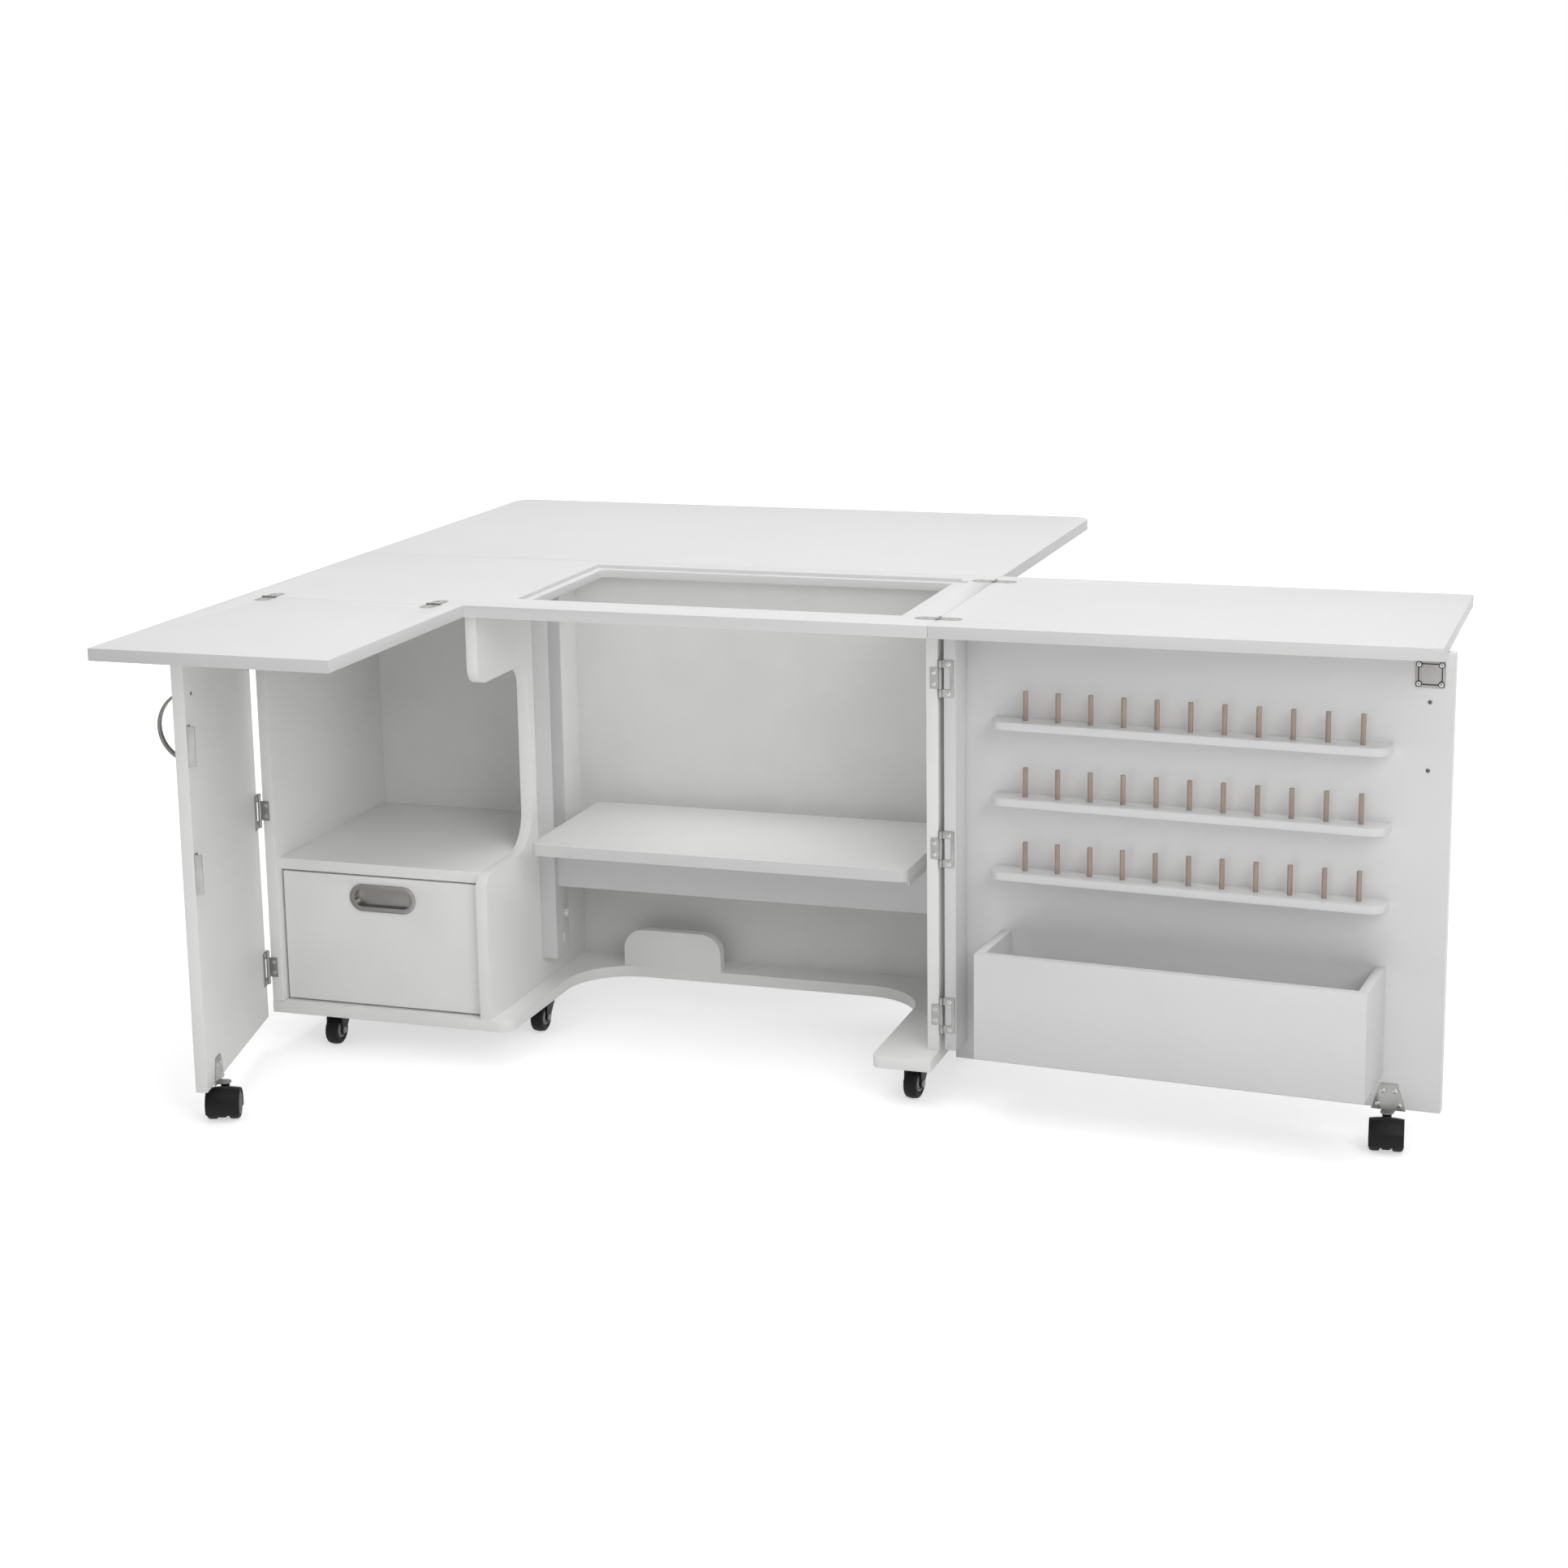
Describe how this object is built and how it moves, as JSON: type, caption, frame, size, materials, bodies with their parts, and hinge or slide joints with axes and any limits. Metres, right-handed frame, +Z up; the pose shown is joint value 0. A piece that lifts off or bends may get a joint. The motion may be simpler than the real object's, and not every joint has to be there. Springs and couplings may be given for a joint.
{
  "type": "folding sewing cabinet",
  "caption": "White folding sewing cabinet on casters: cut-out worktop with hinged leaves, a machine lift, a drawer, and swing-out doors with spool racks and a bin.",
  "frame": {"origin": "On the floor, under the middle of the bounding box of the open cabinet.", "axes": "X to the right as one faces the open doors, Y from the front to the rear leaf, Z up from the floor."},
  "size_m": [1.9386, 1.6052, 0.7772],
  "materials": {
    "white_laminate": "satin white melamine on particle board, with white edge tape",
    "hardboard": "thin white-faced hardboard",
    "white_steel": "semi-gloss white powder coat",
    "cream_runner_steel": "cream epoxy coat",
    "nickel": "satin nickel plate",
    "zinc_steel": "bright zinc plate",
    "black_steel": "black powder coat",
    "black_plastic": "moulded black nylon",
    "black_tread": "hard black rubber tread on a grey hub",
    "dowel_wood": "bare birch dowel",
    "rubber_pad": "soft black bumper"
  },
  "bodies": {
    "cabinet": {"base_board": "white_laminate", "left_side_panel": "white_laminate", "divider_panel": "white_laminate", "right_side_panel": "white_laminate", "back_panel": "white_laminate", "main_top": "white_laminate", "fixed_shelf": "white_laminate", "stop_board": "white_laminate", "lift_channels": "white_steel", "cabinet_drawer_runners": "cream_runner_steel", "fixed_hinge_plates": "nickel", "hinge_pins": "nickel", "stay_wall_brackets": "zinc_steel", "caster_plates": "black_steel", "rubber_bumpers": "rubber_pad"},
    "drawer": {"drawer_front": "white_laminate", "drawer_box": "white_laminate", "drawer_bottom": "hardboard", "drawer_pull": "nickel", "drawer_runners": "cream_runner_steel"},
    "left_leaf_body": {"left_leaf": "white_laminate", "left_leaf_hinge_plates": "nickel"},
    "right_leaf_body": {"right_leaf": "white_laminate", "right_leaf_hinge_plates": "nickel"},
    "rear_leaf_body": {"rear_leaf": "white_laminate", "rear_leaf_hinge_plates": "nickel", "stay_leaf_brackets": "zinc_steel"},
    "stay_lower_arms_body": {"stay_lower_arms": "zinc_steel"},
    "stay_upper_arms_body": {"stay_upper_arms": "zinc_steel"},
    "left_door_body": {"left_door": "white_laminate", "left_door_hinge_leaves": "nickel", "left_door_handle": "nickel", "left_door_catch_plates": "zinc_steel", "left_door_caster_bracket": "zinc_steel"},
    "left_door_caster_swivel": {"left_door_caster_fork": "black_plastic"},
    "left_door_caster_wheels_body": {"left_door_caster_wheels": "black_tread"},
    "right_door_body": {"right_door": "white_laminate", "right_door_spacer_strip": "white_laminate", "right_door_hinge_leaves": "nickel", "spool_shelves": "white_laminate", "spool_pins": "dowel_wood", "bin_front": "white_laminate", "bin_ends_and_bottom": "white_laminate", "latch_plate": "zinc_steel", "right_door_handle": "nickel", "right_door_caster_bracket": "zinc_steel"},
    "right_door_caster_swivel": {"right_door_caster_fork": "black_plastic"},
    "right_door_caster_wheels_body": {"right_door_caster_wheels": "black_tread"},
    "lift": {"lift_platform": "white_laminate", "lift_carriage": "white_steel"},
    "front_left_caster_swivel": {"front_left_caster_fork": "black_plastic"},
    "front_left_caster_wheel_body": {"front_left_caster_wheel": "black_tread"},
    "middle_caster_swivel": {"middle_caster_fork": "black_plastic"},
    "middle_caster_wheel_body": {"middle_caster_wheel": "black_tread"},
    "front_right_caster_swivel": {"front_right_caster_fork": "black_plastic"},
    "front_right_caster_wheel_body": {"front_right_caster_wheel": "black_tread"},
    "rear_left_caster_swivel": {"rear_left_caster_fork": "black_plastic"},
    "rear_left_caster_wheel_body": {"rear_left_caster_wheel": "black_tread"},
    "rear_right_caster_swivel": {"rear_right_caster_fork": "black_plastic"},
    "rear_right_caster_wheel_body": {"rear_right_caster_wheel": "black_tread"}
  },
  "joints": [
    {"name": "drawer_slide", "type": "slide", "parent": "cabinet", "child": "drawer", "axis": [0, 1, 0], "range_m": [-0.138, 0]},
    {"name": "left_leaf_fold", "type": "hinge", "parent": "cabinet", "child": "left_leaf_body", "pos_m": [-0.75201, -0.3413, 0.77525], "axis": [-1, 0, 0], "range_deg": [0, 180]},
    {"name": "right_leaf_fold", "type": "hinge", "parent": "cabinet", "child": "right_leaf_body", "pos_m": [0.20029, -0.105, 0.77525], "axis": [0, -1, 0], "range_deg": [0, 180]},
    {"name": "rear_leaf_drop", "type": "hinge", "parent": "cabinet", "child": "rear_leaf_body", "pos_m": [-0.37501, 0.1213, 0.7525], "axis": [-1, 0, 0], "range_deg": [0, 90]},
    {"name": "stay_lower_swing", "type": "hinge", "parent": "cabinet", "child": "stay_lower_arms_body", "pos_m": [-0.75701, 0.1113, 0.4525], "axis": [1, 0, 0], "range_deg": [0, 46.92]},
    {"name": "stay_upper_swing", "type": "hinge", "parent": "rear_leaf_body", "child": "stay_upper_arms_body", "pos_m": [-0.75701, 0.4213, 0.7425], "axis": [-1, 0, 0], "range_deg": [0, 43.1]},
    {"name": "left_door_swing", "type": "hinge", "parent": "cabinet", "child": "left_door_body", "pos_m": [-0.94951, -0.3175, 0.411], "axis": [0, 0, 1], "range_deg": [-97, 76.2]},
    {"name": "right_door_swing", "type": "hinge", "parent": "cabinet", "child": "right_door_body", "pos_m": [0.19949, -0.2655, 0.411], "axis": [0, 0, -1], "range_deg": [0, 175.8]},
    {"name": "lift_slide", "type": "slide", "parent": "cabinet", "child": "lift", "axis": [0, 0, 1], "range_m": [0, 0.392]},
    {"name": "left_door_caster_turn", "type": "hinge", "parent": "left_door_body", "child": "left_door_caster_swivel", "pos_m": [-0.86637, -0.62453, 0.048], "axis": [0, 0, 1], "continuous": true},
    {"name": "left_door_caster_roll", "type": "hinge", "parent": "left_door_caster_swivel", "child": "left_door_caster_wheels_body", "pos_m": [-0.85994, -0.64241, 0.024], "axis": [-0.9409, -0.3387, 0], "continuous": true},
    {"name": "right_door_caster_turn", "type": "hinge", "parent": "right_door_body", "child": "right_door_caster_swivel", "pos_m": [0.8909, -0.27165, 0.048], "axis": [0, 0, 1], "continuous": true},
    {"name": "right_door_caster_roll", "type": "hinge", "parent": "right_door_caster_swivel", "child": "right_door_caster_wheels_body", "pos_m": [0.89282, -0.29056, 0.024], "axis": [-0.9949, -0.1011, 0], "continuous": true},
    {"name": "front_left_caster_turn", "type": "hinge", "parent": "cabinet", "child": "front_left_caster_swivel", "pos_m": [-0.85601, -0.244, 0.056], "axis": [0, 0, 1], "continuous": true},
    {"name": "front_left_caster_roll", "type": "hinge", "parent": "front_left_caster_swivel", "child": "front_left_caster_wheel_body", "pos_m": [-0.85601, -0.264, 0.025], "axis": [1, 0, 0], "continuous": true},
    {"name": "middle_caster_turn", "type": "hinge", "parent": "cabinet", "child": "middle_caster_swivel", "pos_m": [-0.54901, -0.089, 0.056], "axis": [0, 0, 1], "continuous": true},
    {"name": "middle_caster_roll", "type": "hinge", "parent": "middle_caster_swivel", "child": "middle_caster_wheel_body", "pos_m": [-0.54901, -0.109, 0.025], "axis": [1, 0, 0], "continuous": true},
    {"name": "front_right_caster_turn", "type": "hinge", "parent": "cabinet", "child": "front_right_caster_swivel", "pos_m": [0.15499, -0.239, 0.056], "axis": [0, 0, 1], "continuous": true},
    {"name": "front_right_caster_roll", "type": "hinge", "parent": "front_right_caster_swivel", "child": "front_right_caster_wheel_body", "pos_m": [0.1529, -0.25889, 0.025], "axis": [0.9945, -0.1045, 0], "continuous": true},
    {"name": "rear_left_caster_turn", "type": "hinge", "parent": "cabinet", "child": "rear_left_caster_swivel", "pos_m": [-0.87001, 0.044, 0.056], "axis": [0, 0, 1], "continuous": true},
    {"name": "rear_left_caster_roll", "type": "hinge", "parent": "rear_left_caster_swivel", "child": "rear_left_caster_wheel_body", "pos_m": [-0.8888, 0.03716, 0.025], "axis": [0.342, -0.9397, 0], "continuous": true},
    {"name": "rear_right_caster_turn", "type": "hinge", "parent": "cabinet", "child": "rear_right_caster_swivel", "pos_m": [0.12499, 0.044, 0.056], "axis": [0, 0, 1], "continuous": true},
    {"name": "rear_right_caster_roll", "type": "hinge", "parent": "rear_right_caster_swivel", "child": "rear_right_caster_wheel_body", "pos_m": [0.14378, 0.03716, 0.025], "axis": [0.342, 0.9397, 0], "continuous": true}
  ],
  "couplings": [
    {"joint": "stay_lower_swing", "follows": "rear_leaf_drop", "ratio": 0.52121},
    {"joint": "stay_upper_swing", "follows": "rear_leaf_drop", "ratio": 0.47879}
  ]
}
